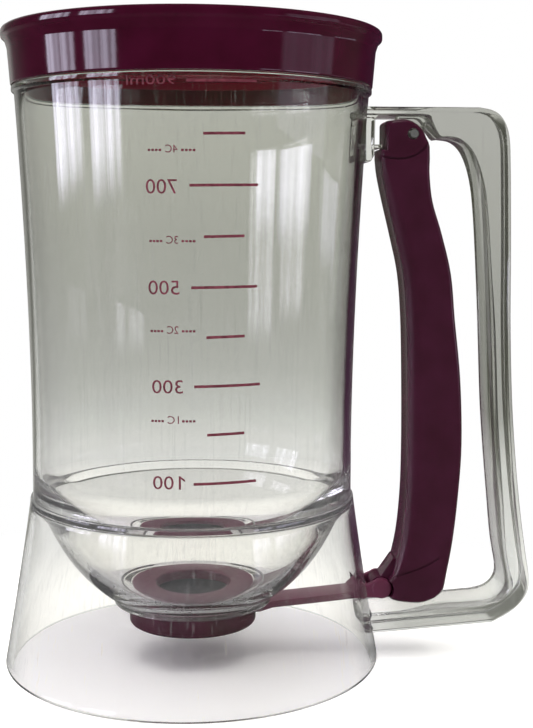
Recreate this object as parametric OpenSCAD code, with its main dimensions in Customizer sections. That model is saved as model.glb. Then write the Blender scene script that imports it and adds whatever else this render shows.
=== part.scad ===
// Pancake batter dispenser: a clear jug with a bowl-shaped floor, a bottom outlet
// closed by a sliding shutter, and a hand trigger inside the handle that pulls it.
//
// Origin: the jug's axis, on the plane it stands on. +Z up, +X toward the handle.

/* [Jug] */
// Height of the jug moulding, from the table to the rim under the lid
jug_h = 186.5; // [184:0.5:192]
// Outer radius of the base where it meets the table
base_r = 57.2; // [56:0.2:60]
// Outer radius of the barrel at its narrowest
barrel_r = 48.6; // [47.6:0.2:49.6]
// Outer radius of the barrel just below the lid
mouth_r = 53.1; // [52.4:0.1:54]
// Height of the step where barrel and skirt meet
waist_z = 50.8; // [48:0.2:54]
// How far the skirt stands out from the barrel at the step
waist_step = 0.7; // [0.3:0.1:1.2]
// Wall thickness of barrel and skirt
jug_wall = 2.2; // [1.8:0.1:2.6]

/* [Bowl and outlet] */
// How much narrower than the barrel the ellipse of the bowl's outside is
bowl_inset = 1.4; // [1:0.1:2.2]
// Half height of that ellipse
bowl_h = 50; // [48:0.2:52]
// Wall thickness of the bowl at its side
bowl_wall = 2.2; // [1.8:0.1:2.6]
// Extra thickness of the bowl at its lowest point
bowl_floor_extra = 1.5; // [1.2:0.1:1.8]
// Height of the solid ring under the step, where bowl and skirt join
waist_ring = 2.2; // [1.8:0.1:3]
// Height above the step at which the wall begins to curve into the bowl
bowl_blend = 8; // [6:0.5:9]
// Outer radius of the flat collar under the bowl
collar_r = 24.3; // [23:0.1:25]
// Height of the collar's flat underside
collar_z = 17.4; // [17:0.1:17.8]
// Height of the collar's side wall, up to where the bowl's curve begins
collar_rise = 1.7; // [1.5:0.1:2.2]
// Thickness of the clear floor that the two valve rings clamp
clamp_floor = 1.5; // [1.2:0.1:1.8]
// Radius of the hole through the clear floor
collar_bore_r = 15.5; // [15:0.1:16]

/* [Valve] */
// Outer radius of both burgundy valve rings
valve_r = 19.5; // [19:0.1:20]
// Radius of the throat that the batter leaves through
throat_r = 11.7; // [10:0.1:12]
// Radius of the outlet hole under the shutter
outlet_r = 11; // [9:0.1:11.4]
// Height of the underside of the valve housing
housing_z = 10.6; // [9.6:0.1:11]
// Thickness of the housing's floor
housing_floor = 3.4; // [2.8:0.1:3.6]
// Height of the seat ring's top above the clear floor
seat_rise = 1.9; // [1.6:0.1:2.2]
// Thickness of the silicone gasket under the seat ring
gasket_t = 0.8; // [0.6:0.1:1]
// Radius of the shutter disc
shutter_r = 13.2; // [12.8:0.1:13.6]
// Thickness of the shutter disc
shutter_t = 2; // [1.6:0.1:2.2]
// Radius of the silicone pad on the shutter
pad_r = 12.8; // [12.4:0.1:12.9]
// Thickness of the silicone pad
pad_t = 1.5; // [1.2:0.1:1.6]
// Depth of the pad's recess in the shutter
pad_recess = 0.5; // [0.3:0.1:0.7]

/* [Pull arm] */
// Width of the flat pull arm
arm_w = 11; // [9:0.2:12]
// Thickness of the pull arm
arm_t = 2; // [1.6:0.1:2.4]
// Radius of the round cheeks at the arm's end
cheek_r = 3.1; // [2.8:0.1:3.3]
// Thickness of each cheek
cheek_t = 2.2; // [1.8:0.1:2.4]
// Radius of the studs that join the cheeks to the trigger
stud_r = 1.5; // [1.2:0.1:1.6]

/* [Trigger] */
// Distance of the trigger's pivot from the jug's axis
pivot_x = 66.5; // [66:0.1:67]
// Depth of the trigger's pivot below the handle's top face
pivot_drop = 7.9; // [7.6:0.1:8.2]
// Distance of the trigger's lower joint from the jug's axis
link_x = 58.1; // [57.8:0.1:58.6]
// Height of the trigger's lower joint
link_z = 21; // [20.5:0.1:21.5]
// Width of the trigger
trigger_w = 16; // [15:0.2:17]
// Wall thickness of the trigger's channel
trigger_wall = 1.8; // [1.5:0.1:2.2]
// Thickness of the web that joins the channel's sides
trigger_web = 2.6; // [2:0.1:3]
// Number of stiffening ribs in the trigger's channel
trigger_ribs = 5; // [3:1:7]
// Thickness of one stiffening rib
rib_t = 1.4; // [1:0.1:1.8]
// Width of the solid tongue at the trigger's lower end
tongue_w = 8; // [7:0.2:8.4]

/* [Handle] */
// Width of the clear handle
handle_w = 20; // [18.4:0.2:22]
// Distance of the handle's inner face from the jug's axis, at mid height
grip_x = 90.1; // [89.8:0.1:92]
// Thickness of the grip
grip_t = 6.3; // [5.6:0.1:7]
// Depth of the handle's top face below the lid's lower edge
handle_drop = 5.1; // [4:0.1:5.6]
// Height of the underside of the handle's lower bar at the jug
handle_foot_z = 8; // [7:0.1:8.2]
// Thickness of the handle's lower bar
foot_bar_t = 5.9; // [5.2:0.1:6]
// Bevel along the handle's edges
handle_bevel = 1.4; // [0.8:0.1:1.8]
// Width of the lug that carries the pivot pin
lug_w = 7; // [6.4:0.2:7.2]

/* [Pin and spring] */
// Radius of the stainless pivot pin
pin_r = 1.2; // [1:0.1:1.4]
// Radius of the return spring's wire
spring_wire_r = 0.3; // [0.25:0.05:0.3]
// Number of turns in the return spring
spring_turns = 2; // [1:1:2]

/* [Lid] */
// Outer radius of the lid's skirt at its lower edge
lid_r = 54.2; // [54.2:0.1:55]
// Outer radius of the lid's rolled brim
brim_r = 57; // [56.6:0.1:58]
// Height of the lid above its own lower edge
lid_h = 16.4; // [15.6:0.1:17.4]
// Wall thickness of the lid
lid_wall = 1.7; // [1.4:0.1:1.8]
// Depth of the lid's sunk panel below the brim
panel_sink = 1.9; // [1.5:0.1:2.4]
// Depth of the plug rib under the panel
plug_depth = 4.3; // [3:0.1:6]

/* [Fits] */
// Clearance round a moving shaft or stud
run_gap = 0.05; // [0.03:0.01:0.08]
// Clearance between sliding faces
slide_gap = 0.1; // [0.08:0.01:0.15]
// Clearance between the lid and the jug's rim
lid_gap = 0.3; // [0.2:0.05:0.35]
// Clearance between side faces of parts that swing past each other
side_gap = 0.2; // [0.15:0.05:0.3]

/* [Hidden] */
$fn = 96;

clear_plastic = [0.86, 0.88, 0.87, 0.45];
burgundy = [0.26, 0.09, 0.16];
silicone = [0.42, 0.43, 0.45];
steel = [0.75, 0.76, 0.74];

// ---- Jug outline ----

// Height at which the barrel starts to widen toward its mouth
flare_z = 65;
// Height of the ledge that the lid's lower edge comes down to
ledge_z = jug_h - 13;
// Radius of the rim inside the lid
rim_r = lid_r - lid_wall - lid_gap - 0.1;
rim_inner_r = rim_r - 1.9;

// Height of the face where bowl and skirt meet
skirt_top_z = waist_z - waist_ring;
// Height of the face where bowl and barrel meet
bowl_top_z = waist_z + bowl_blend;

function skirt_r(z) =
    let (top = barrel_r + waist_step)
    top + (base_r - top) * pow(max(0, 1 - z / waist_z), 1.1);
function barrel_outer(z) =
    barrel_r + (z > flare_z
        ? (mouth_r - barrel_r) * pow((z - flare_z) / (ledge_z - 2 - flare_z), 1.7) : 0);

skirt_steps = [for (i = [0:8]) i * skirt_top_z / 8];
collar_steps = [for (i = [0:3]) skirt_top_z + i * (waist_z - skirt_top_z) / 3];
barrel_steps = concat([bowl_top_z],
    [for (i = [0:9]) flare_z + i * (ledge_z - 2 - flare_z) / 9]);

// ---- Bowl ----

bowl_r = barrel_r - bowl_inset;
// Centre of the bowl's ellipses: the outer one passes through the collar's upper edge
bowl_centre_z = collar_z + collar_rise + bowl_h * sqrt(1 - pow(collar_r / bowl_r, 2));
bowl_in_r = bowl_r - bowl_wall;
bowl_in_h = bowl_h - bowl_wall - bowl_floor_extra;
function ellipse_z(r, half_w, half_h) =
    bowl_centre_z - half_h * sqrt(max(0, 1 - pow(r / half_w, 2)));
function ellipse_r(z, half_w, half_h) =
    half_w * sqrt(max(0, 1 - pow((bowl_centre_z - z) / half_h, 2)));
// Inner radius of the barrel, where the wall curves into the bowl
well_r = barrel_r - jug_wall;
// Height and radius at which that curve meets the inner ellipse
blend_z = waist_z - 4.8;
blend_r = ellipse_r(blend_z, bowl_in_r, bowl_in_h);
// Radius of the pocket for the seat ring
pocket_r = valve_r + lid_gap;
pocket_z = collar_z + clamp_floor;
bowl_out_steps = [for (i = [0:12]) let (a = i / 12)
    ellipse_r(skirt_top_z, bowl_r, bowl_h) * (1 - a * a) + collar_r * a * a];
bowl_in_steps = [for (i = [0:9]) let (a = i / 9) pocket_r * (1 - a) + blend_r * a];

// ---- Valve stack, bottom to top ----

shutter_z = housing_z + housing_floor + slide_gap;
pad_z = shutter_z + shutter_t - pad_recess;
throat_z = pad_z + pad_t + slide_gap;
seat_top_z = pocket_z + seat_rise;
seat_flange_z = pocket_z + gasket_t;
channel_r = shutter_r + 0.3;
spigot_r = collar_bore_r - 0.2;

// ---- Pivot, and the drawing that trigger and handle share ----

handle_top_z = ledge_z - handle_drop;
pivot_z = handle_top_z - pivot_drop;
// The outlines are drawn for a lower joint at 58.1, 21, a pivot at height 160.5 and a grip
// at 90.1, and stretch with the jug and the handle
function at_x(x) = link_x + (x - 58.1) / 32 * (grip_x - link_x);
function at_z(z) = link_z + (z - 21) / 139.5 * (pivot_z - link_z);
function at(x, z) = [at_x(x), at_z(z)];

// ---- Trigger outline: front faces the jug, back faces the handle ----

// Each row: height, distance of the front face and of the back face from the axis
trigger_rows = [
    [25, 61.4, 78.2], [36, 63.9, 80.1], [50, 65.2, 81.6], [66, 65.5, 82.5],
    [86, 65.3, 81.8], [104, 64.8, 79.9], [118, 63.6, 78.5], [130, 61.0, 75.6],
    [140, 58.6, 72.6], [148, 56.9, 71.6], [153, 56.3, 71.6]
];
lip_z = at_z(155.9);
// Number of short faces that each stretch between two rows is drawn with
curve_steps = 3;

// Smooth run of points through a list of points
function smooth(p) = concat(
    [for (i = [0:len(p) - 2]) for (k = [0:curve_steps - 1])
        let (a = p[max(i - 1, 0)], b = p[i], c = p[i + 1], d = p[min(i + 2, len(p) - 1)],
             t = k / curve_steps)
        0.5 * (2 * b + (c - a) * t + (2 * a - 5 * b + 4 * c - d) * t * t
            + (3 * b - a - 3 * c + d) * t * t * t)],
    [p[len(p) - 1]]);
function reversed(p) = [for (i = [len(p) - 1:-1:0]) p[i]];
trigger_front = smooth([for (row = trigger_rows) at(row[1], row[0])]);
trigger_back = smooth([for (row = trigger_rows) at(row[2], row[0])]);
function front_points(inset) = [for (p = trigger_front) [p[0] + inset, p[1]]];
function back_points(inset) = reversed([for (p = trigger_back) [p[0] - inset, p[1]]]);
function front_at(z) = lookup(z, [for (p = trigger_front) [p[1], p[0]]]);
function back_at(z) = lookup(z, [for (p = trigger_back) [p[1], p[0]]]);

// ---- Handle ----

foot_slope = 4.4;
foot_end_x = at_x(92);
foot_top_z = handle_foot_z + foot_bar_t;
bar_under_z = handle_top_z - 8.9;
split_top_z = at_z(148);
split_foot_z = at_z(30);

// ---------------------------------------------------------------- helpers

// A flat outline drawn in X and Z, given a width along Y
module side_plate(width, y = 0) {
    translate([0, y + width / 2, 0])
        rotate([90, 0, 0])
            linear_extrude(height = width) children();
}

// A round bar or hole along Y, centred on the given point
module cross_bar(x, z, r, width, y = 0) {
    translate([x, y + width / 2, z])
        rotate([90, 0, 0])
            cylinder(r = r, h = width);
}

// ---------------------------------------------------------------- clear jug

// Straight-sided barrel with the ledge and the thin rim that the lid covers
module jug_barrel() {
    outer = [for (z = barrel_steps) [barrel_outer(z), z]];
    inner = [for (i = [len(barrel_steps) - 1:-1:0])
        [barrel_outer(barrel_steps[i]) - jug_wall, barrel_steps[i]]];
    rim = [
        [lid_r - 0.2, ledge_z - 1.2], [lid_r - 0.2, ledge_z], [rim_r, ledge_z],
        [rim_r, jug_h - 0.5], [rim_r - 0.5, jug_h],
        [rim_inner_r + 0.5, jug_h], [rim_inner_r, jug_h - 0.5], [rim_inner_r, ledge_z]
    ];
    color(clear_plastic)
        rotate_extrude() polygon(concat(outer, rim, inner));
}

// Bowl-shaped floor with its collar wall, the flat underside and the valve's pocket
module funnel_bowl() {
    wall_out = concat([[well_r, bowl_top_z], [barrel_r, bowl_top_z], [barrel_r, waist_z]],
        [for (i = [len(collar_steps) - 1:-1:0]) [skirt_r(collar_steps[i]), collar_steps[i]]]);
    under = [for (r = bowl_out_steps) [r, ellipse_z(r, bowl_r, bowl_h)]];
    floor_flat = [
        [collar_r, collar_z], [collar_bore_r, collar_z],
        [collar_bore_r, pocket_z], [pocket_r, pocket_z]
    ];
    inside = [for (r = bowl_in_steps) [r, ellipse_z(r, bowl_in_r, bowl_in_h)]];
    into_wall = [for (t = [0.25, 0.5, 0.75])
        [blend_r + (well_r - blend_r) * (1 - pow(1 - t, 1.5)),
         blend_z + (bowl_top_z - blend_z) * t]];
    color(clear_plastic) {
        rotate_extrude()
            polygon(concat(wall_out, under, floor_flat, inside, into_wall));
        collar_teeth();
    }
}

// Short upright teeth under the collar that key the housing against turning
module collar_teeth() {
    for (a = [-52, -47.5, -43])
        rotate([0, 0, a])
            translate([valve_r + 0.2, -0.4, collar_z - 2.4])
                cube([1.6, 0.8, 2.6]);
}

// Flared skirt that the jug stands on, with the window that the pull arm passes through
module base_skirt() {
    outer = [for (z = skirt_steps) [skirt_r(z), z]];
    inner = [for (i = [len(skirt_steps) - 1:-1:0])
        [skirt_r(skirt_steps[i]) - jug_wall, skirt_steps[i]]];
    window_w = arm_w + 2;
    window_h = 2 * cheek_r + 0.9;
    color(clear_plastic)
        difference() {
            rotate_extrude() polygon(concat(outer, inner));
            translate([base_r - 10, -window_w / 2, link_z - cheek_r - 1.7])
                cube([20, window_w, window_h]);
        }
}

// ---------------------------------------------------------------- clear handle

// Closed outline of the whole handle, drawn smaller by inset on every side
module handle_outline(inset) {
    root = barrel_r + 1.4;
    rise = tan(foot_slope);
    x_in = grip_x + inset;
    x_out = grip_x + grip_t - inset;
    outer_face = [
        [x_out - 10.4 + inset, handle_top_z - inset],
        [x_out - 6 + inset, handle_top_z - 1 - inset * 0.9],
        [x_out - 3.2 + inset, handle_top_z - 3.6 - inset * 0.6],
        [x_out - 1.3, handle_top_z - 8.5],
        [x_out - 0.7, at_z(150)], [x_out - 0.2, at_z(124)], [x_out, at_z(104)],
        [x_out + 0.8, at_z(81)], [x_out + 2.2, at_z(62)], [x_out + 3.9, at_z(46)],
        [x_out + 5.7, at_z(33)], [x_out + 6.9, 25.5], [x_out + 6.6, 20.5], [x_out + 4, 16.4],
        [x_out + 0.3, 13.4 + inset * 0.6],
        [foot_end_x, handle_foot_z + (foot_end_x - 54) * rise + inset]
    ];
    inner_face = [
        [foot_end_x - 3, foot_top_z + (foot_end_x - 57) * rise - inset],
        [x_in + 3.2, 17.8 - inset * 0.4], [x_in + 5.9, 20.5], [x_in + 6.5, 24.5],
        [x_in + 4.9, at_z(34)], [x_in + 3.6, at_z(47)], [x_in + 2.2, at_z(62)],
        [x_in + 1, at_z(78)], [x_in, at_z(101)], [x_in - 0.8, at_z(117)],
        [x_in - 2, at_z(136)], [x_in - 3.4, at_z(147)],
        [x_in - 6, bar_under_z - 4.7], [x_in - 9.6, bar_under_z - 0.9 + inset * 0.7],
        [x_in - 14, bar_under_z + inset]
    ];
    polygon(concat(
        [[root, handle_top_z - inset]],
        smooth(outer_face),
        [[root, handle_foot_z + (root - 54) * rise + inset],
         [root, foot_top_z + (root - 54) * rise - inset]],
        smooth(inner_face),
        // step down beside the trigger's head, and the thin roof over it
        [[pivot_x + 7.1, bar_under_z - 0.8 + inset], [pivot_x + 5.1 + inset, bar_under_z + 1.4],
         [pivot_x + 5.9 + inset, bar_under_z + 3.4],
         [pivot_x + 2.1, handle_top_z - 2.6 + inset * 0.3],
         [root, handle_top_z - 2.6 + inset * 0.3]]
    ));
}

// The handle as a bar with bevelled edges
module handle_bar() {
    side_plate(handle_w - 2 * handle_bevel) handle_outline(0);
    side_plate(handle_w - handle_bevel * 0.8) handle_outline(handle_bevel * 0.35);
    side_plate(handle_w) handle_outline(handle_bevel);
}

// A slab of the handle between two heights, with the space inside the jug cut away
module handle_slice(z_low, z_high) {
    difference() {
        intersection() {
            handle_bar();
            translate([40, -handle_w, z_low]) cube([80, 2 * handle_w, z_high - z_low]);
        }
        jug_core();
    }
}

// Everything inside the jug's outer surface
module jug_core() {
    rotate_extrude()
        polygon(concat([[0, -1], [base_r, -1]], [for (z = skirt_steps) [skirt_r(z), z]],
            [for (i = [1:len(collar_steps) - 1]) [skirt_r(collar_steps[i]), collar_steps[i]]],
            [[barrel_r, waist_z]], [for (z = barrel_steps) [barrel_outer(z), z]], [[mouth_r, jug_h], [0, jug_h]]));
}

// Root block on the barrel with the tab that stops the trigger
module handle_root() {
    difference() {
        union() {
            side_plate(trigger_w) polygon([
                [barrel_r - 2.6, handle_top_z - 16.4], [mouth_r + 0.1, handle_top_z - 16.4],
                [mouth_r + 1.3, handle_top_z - 14.4], [mouth_r + 1.5, handle_top_z - 2],
                [mouth_r + 3.9, handle_top_z - 1], [barrel_r - 2.6, handle_top_z - 1]
            ]);
            side_plate(trigger_w - 4) polygon([
                [mouth_r - 3, lip_z + lid_gap], [at_x(57), lip_z + lid_gap],
                [at_x(57), lip_z + lid_gap + 1.1], [mouth_r - 3, lip_z + lid_gap + 1.1]
            ]);
        }
        jug_core();
    }
}

// Lug inside the trigger's head that carries the pivot pin
module pivot_lug() {
    difference() {
        union() {
            cross_bar(pivot_x, pivot_z, 3.6, lug_w);
            side_plate(lug_w) polygon([
                [pivot_x - 3.6, pivot_z], [pivot_x + 3.6, pivot_z],
                [pivot_x + 4.4, handle_top_z - 2], [pivot_x - 4.4, handle_top_z - 2]
            ]);
        }
        cross_bar(pivot_x, pivot_z, pin_r, lug_w + 2);
    }
}

// Top bar of the handle, with its root, the stop tab and the pivot lug
module handle_top_arm() {
    color(clear_plastic) {
        handle_slice(split_top_z, jug_h);
        handle_root();
        pivot_lug();
    }
}

// Upright bar that the palm wraps round
module handle_grip() {
    color(clear_plastic) handle_slice(split_foot_z, split_top_z);
}

// Lower bar of the handle, rising a little from the skirt to the corner
module handle_foot_bar() {
    color(clear_plastic) handle_slice(0, split_foot_z);
}

// ---------------------------------------------------------------- lid

// Push-on cap: straight skirt over the rim, rolled brim, sunk panel and plug rib
module lid() {
    low_z = ledge_z + lid_gap + 0.1;
    top_z = low_z + lid_h;
    under_z = jug_h + lid_gap;
    panel_z = top_z - panel_sink;
    skirt_in = lid_r - lid_wall;
    plug_r = rim_inner_r - lid_gap;
    color(burgundy)
        rotate_extrude() polygon([
            [0, under_z], [plug_r - 1.4, under_z], [plug_r - 1.4, under_z - plug_depth],
            [plug_r - 0.4, under_z - plug_depth], [plug_r, under_z - plug_depth + 0.6],
            [plug_r, under_z], [skirt_in, under_z], [skirt_in, low_z + 0.4],
            [skirt_in + 0.3, low_z], [lid_r - 0.3, low_z], [lid_r, low_z + 0.4],
            [lid_r + 0.9, top_z - 5.2], [lid_r + 1.4, top_z - 3.8],
            [brim_r - 0.5, top_z - 2.8], [brim_r, top_z - 2],
            [brim_r, top_z - 1.1], [brim_r - 0.4, top_z - 0.3], [brim_r - 1.1, top_z],
            [brim_r - 2.2, top_z], [brim_r - 3, top_z - 0.5], [brim_r - 3.8, panel_z + 0.3],
            [brim_r - 4.8, panel_z], [0, panel_z]
        ]);
}

// ---------------------------------------------------------------- valve

// Upper valve ring: the batter's throat, clamped down on the clear floor
module seat_ring() {
    color(burgundy) {
        rotate_extrude() polygon([
            [throat_r, throat_z], [spigot_r, throat_z], [spigot_r, seat_flange_z],
            [valve_r, seat_flange_z], [valve_r, seat_top_z - 0.7],
            [valve_r - 1.6, seat_top_z], [throat_r + 0.5, seat_top_z],
            [throat_r, seat_top_z - 0.5]
        ]);
        seat_tongues(0);
    }
}

// Two tongues on the seat ring that lock it into the housing
module seat_tongues(grow) {
    for (s = [-1, 1])
        intersection() {
            difference() {
                translate([0, 0, shutter_z + 0.9 - grow])
                    cylinder(r = spigot_r + grow, h = throat_z - shutter_z - 0.9 + grow);
                translate([0, 0, 0])
                    cylinder(r = channel_r + 0.2 - grow, h = throat_z + 1);
            }
            translate([-spigot_r - 1, s > 0 ? channel_r + 0.2 - grow : -spigot_r - 1, 0])
                cube([2 * spigot_r + 2, spigot_r + 1 - channel_r - 0.2 + grow, throat_z + 1]);
        }
}

// Flat silicone washer between the seat ring and the clear floor
module seat_gasket() {
    color(silicone)
        translate([0, 0, pocket_z])
            difference() {
                cylinder(r = valve_r - 0.1, h = gasket_t);
                translate([0, 0, -1]) cylinder(r = collar_bore_r + 0.1, h = gasket_t + 2);
            }
}

// Lower valve ring: floor with the outlet hole and the shutter's slide channel
module valve_housing() {
    color(burgundy)
        difference() {
            rotate_extrude() polygon([
                [outlet_r, housing_z + 0.5], [outlet_r + 0.5, housing_z],
                [valve_r - 1.2, housing_z], [valve_r - 0.3, housing_z + 0.5],
                [valve_r, housing_z + 1.4], [valve_r, collar_z],
                [outlet_r, collar_z]
            ]);
            translate([0, 0, housing_z + housing_floor]) {
                cylinder(r = channel_r, h = 10);
                translate([0, -channel_r, 0]) cube([30, 2 * channel_r, 10]);
            }
            translate([0, 0, throat_z - slide_gap]) cylinder(r = spigot_r + slide_gap, h = 10);
            seat_tongues(slide_gap);
        }
}

// Shutter disc, flat arm and the fork that hooks onto the trigger
module pull_arm() {
    fork_in = tongue_w / 2 + side_gap;
    half_t = arm_t / 2;
    arm_mid = [[valve_r + 1, shutter_z + half_t], [valve_r + 5, shutter_z + half_t + 1.3],
               [link_x - 9, link_z - 2.1]];
    color(burgundy)
        difference() {
            union() {
                translate([0, 0, shutter_z]) cylinder(r = shutter_r, h = shutter_t);
                translate([0, -arm_w / 2, shutter_z])
                    cube([valve_r + 1, arm_w, shutter_t]);
                side_plate(arm_w) polygon(concat(
                    [for (p = arm_mid) [p[0], p[1] + half_t]],
                    [for (i = [2:-1:0]) [arm_mid[i][0], arm_mid[i][1] - half_t]]));
                // bridge of the fork
                side_plate(2 * (fork_in + cheek_t)) polygon([
                    [link_x - 9.2, link_z - 3.1], [link_x - 5, link_z - 2.7],
                    [link_x - 5, link_z + 1.6], [link_x - 9.2, link_z - 1.1]
                ]);
                for (s = [-1, 1]) {
                    cross_bar(link_x, link_z, cheek_r, cheek_t, s * (fork_in + cheek_t / 2));
                    side_plate(cheek_t, s * (fork_in + cheek_t / 2)) polygon([
                        [link_x - 5.5, link_z - 2.7], [link_x, link_z - cheek_r],
                        [link_x, link_z + cheek_r], [link_x - 5.5, link_z + 1.6]
                    ]);
                    cross_bar(link_x, link_z, stud_r, 2.8, s * (fork_in - 1.4 + 0.1));
                }
            }
            translate([0, 0, pad_z]) cylinder(r = pad_r + 0.02, h = pad_recess + 1);
        }
}

// Soft disc on the shutter that seals against the throat
module closure_pad() {
    color(silicone)
        translate([0, 0, pad_z])
            rotate_extrude() polygon([
                [0, 0], [pad_r, 0], [pad_r, pad_t - 0.4], [pad_r - 0.4, pad_t], [0, pad_t]
            ]);
}

// ---------------------------------------------------------------- trigger

// Outline of the trigger's blade, drawn smaller by inset at front and back
module blade_outline(inset) {
    polygon(concat(
        [at(60.8, 17.8) + [inset, inset * 0.5], at(58, 21.5) + [inset, 0],
         at(59.4, 23) + [inset, 0]],
        front_points(inset),
        [[at_x(56.3) + inset, lip_z - inset * 0.5], [at_x(57.8) + inset, lip_z - inset * 0.5],
         at(57.8, 163.8) + [inset, -inset], at(58.6, 164.4) + [inset, -inset],
         at(63.2, 165) - [0, inset], at(66, 164.4) - [0, inset],
         at(68.8, 162.3) - [inset * 0.5, inset * 0.6],
         at(70.4, 159.4) - [inset, 0], at(71.5, 157) - [inset, 0]],
        back_points(inset),
        [at(77.8, 21.6) - [inset, 0], at(76, 19) + [-inset, inset * 0.5],
         at(72.6, 17.1) + [0, inset], at(69.4, 16.4) + [0, inset], at(65, 16.7) + [0, inset]]
    ));
}

// Solid tongue round the lower joint
module tongue() {
    side_plate(tongue_w) polygon([
        [link_x, link_z - 3.4], at(70, 18), at(70, 30), at(62, 30), [link_x, link_z + 3.4]
    ]);
    cross_bar(link_x, link_z, 3.4, tongue_w);
}

// Lever in channel section, open toward the handle, with cross ribs and the tongue
module trigger() {
    bevel = 1.1;
    inner_w = trigger_w - 2 * trigger_wall;
    cheek_room = cheek_r + 0.5;
    color(burgundy)
        difference() {
            union() {
                difference() {
                    union() {
                        side_plate(trigger_w - 2 * bevel) blade_outline(0);
                        side_plate(trigger_w) blade_outline(bevel);
                    }
                    side_plate(inner_w) channel_outline();
                }
                for (i = [1:trigger_ribs])
                    channel_rib(at_z(36 + (i - 1) * 104 / trigger_ribs));
                tongue();
            }
            cross_bar(pivot_x, pivot_z, pin_r + run_gap, trigger_w + 4);
            // pockets for the fork's cheeks
            for (s = [-1, 1]) {
                cross_bar(link_x, link_z, cheek_room, 10, s * (tongue_w / 2 + 5));
                translate([link_x - 12, s > 0 ? tongue_w / 2 : -tongue_w / 2 - 10,
                           link_z - cheek_room])
                    cube([12, 10, 2 * cheek_room]);
            }
            // upright slot for the studs
            for (dz = [-0.35, 0.35])
                cross_bar(link_x, link_z + dz, stud_r + run_gap, tongue_w + 2);
            translate([link_x - stud_r - run_gap, -tongue_w / 2 - 1, link_z - 0.35])
                cube([2 * (stud_r + run_gap), tongue_w + 2, 0.7]);
        }
}

// Outline of the space inside the channel, open at the back and at the top
module channel_outline() {
    polygon(concat(
        [at(70.2, 21), at(66.4, 24)],
        [for (p = front_points(trigger_web)) if (p[1] > at_z(28)) p],
        [at(59.8, 158), at(59.8, 168), at(90, 168), at(90, 21)]
    ));
}

// Cross rib between the channel's sides at one height
module channel_rib(z) {
    side_plate(trigger_w - trigger_wall) polygon([
        [front_at(z) + 1.4, z], [back_at(z) - 3.5, z],
        [back_at(z + rib_t) - 3.5, z + rib_t], [front_at(z + rib_t) + 1.4, z + rib_t]
    ]);
}

// ---------------------------------------------------------------- pin and spring

// Plain stainless pin, held in the lug and free in the trigger's sides
module pivot_pin() {
    color(steel)
        difference() {
            cross_bar(pivot_x, pivot_z, pin_r, trigger_w - 0.4);
            for (s = [-1, 1])
                cross_bar(pivot_x, pivot_z, 0.4, 0.6, s * (trigger_w / 2 - 0.2));
        }
}

// Points along the spring: leg under the handle's bar, coil round the pin, leg on the web
coil_r = 2.6;
spring_y = lug_w / 2 + 0.27 + spring_wire_r;
spring_pitch = 2 * spring_wire_r + 0.04;
bar_leg = 4.7;
web_leg = 9;
leg_start = 90;
coil_steps = 20;
coil_turn = 360 * spring_turns + 60;
function coil_point(t) = let (a = leg_start + t * coil_turn)
    [pivot_x + coil_r * cos(a), spring_y + spring_pitch * t * coil_turn / 360,
     pivot_z + coil_r * sin(a)];
spring_path = [for (i = [0:coil_steps * (spring_turns + 1)])
    coil_point(i / (coil_steps * (spring_turns + 1)))];

// Return spring as a round wire swept along its coil and legs
module return_spring() {
    first = spring_path[0];
    last = spring_path[len(spring_path) - 1];
    end_a = leg_start + coil_turn;
    path = concat(
        [first + bar_leg * [sin(leg_start), 0, -cos(leg_start)]],
        spring_path,
        [last + web_leg * [-sin(end_a), 0, cos(end_a)]]);
    color(steel) wire(path, spring_wire_r, 8);
}

// Round wire through a list of points that wind about an axis along Y
module wire(path, r, sides) {
    count = len(path);
    rings = [for (i = [0:count - 1])
        let (a = path[max(i - 1, 0)], b = path[min(i + 1, count - 1)],
             dir = (b - a) / norm(b - a),
             flat = cross(dir, [0, 1, 0]), side = flat / norm(flat), up = cross(side, dir))
        for (k = [0:sides - 1])
            path[i] + r * (cos(360 * k / sides) * side + sin(360 * k / sides) * up)];
    faces = concat(
        [[for (k = [0:sides - 1]) k]],
        [for (i = [0:count - 2]) for (k = [0:sides - 1])
            let (n = (k + 1) % sides)
            [i * sides + k, (i + 1) * sides + k, (i + 1) * sides + n, i * sides + n]],
        [[for (k = [sides - 1:-1:0]) (count - 1) * sides + k]]);
    polyhedron(points = rings, faces = faces, convexity = 6);
}

// ---------------------------------------------------------------- assembly

jug_barrel();
funnel_bowl();
base_skirt();
handle_top_arm();
handle_grip();
handle_foot_bar();
lid();
seat_ring();
seat_gasket();
valve_housing();
pull_arm();
closure_pad();
trigger();
pivot_pin();
return_spring();
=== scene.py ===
import math

import bmesh
import bpy
from mathutils import Matrix, Vector


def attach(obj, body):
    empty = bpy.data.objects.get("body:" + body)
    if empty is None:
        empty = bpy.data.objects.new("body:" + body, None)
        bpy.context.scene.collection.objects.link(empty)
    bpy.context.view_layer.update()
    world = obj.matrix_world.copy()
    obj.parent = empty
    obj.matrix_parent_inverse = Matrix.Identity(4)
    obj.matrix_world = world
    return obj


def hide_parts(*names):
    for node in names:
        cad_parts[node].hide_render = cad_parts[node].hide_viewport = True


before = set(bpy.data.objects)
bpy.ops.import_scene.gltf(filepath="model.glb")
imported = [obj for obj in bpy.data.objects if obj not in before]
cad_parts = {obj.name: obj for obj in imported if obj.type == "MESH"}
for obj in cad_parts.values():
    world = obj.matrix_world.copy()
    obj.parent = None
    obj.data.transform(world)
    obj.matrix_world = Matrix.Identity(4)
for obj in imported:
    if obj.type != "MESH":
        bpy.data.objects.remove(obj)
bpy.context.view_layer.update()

scene = bpy.context.scene
scene.view_settings.view_transform = "Standard"
scene.cycles.max_bounces = 32
scene.cycles.transmission_bounces = 32
scene.cycles.glossy_bounces = 16
MM = 0.001


# ------------------------------------------------------------------ camera
# A close view from the height of the jug's upper third, looking a little down and turned a
# few degrees toward the handle. The frame is 533 by 728 pixels, and the lens's axis meets
# its row 300.

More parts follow.
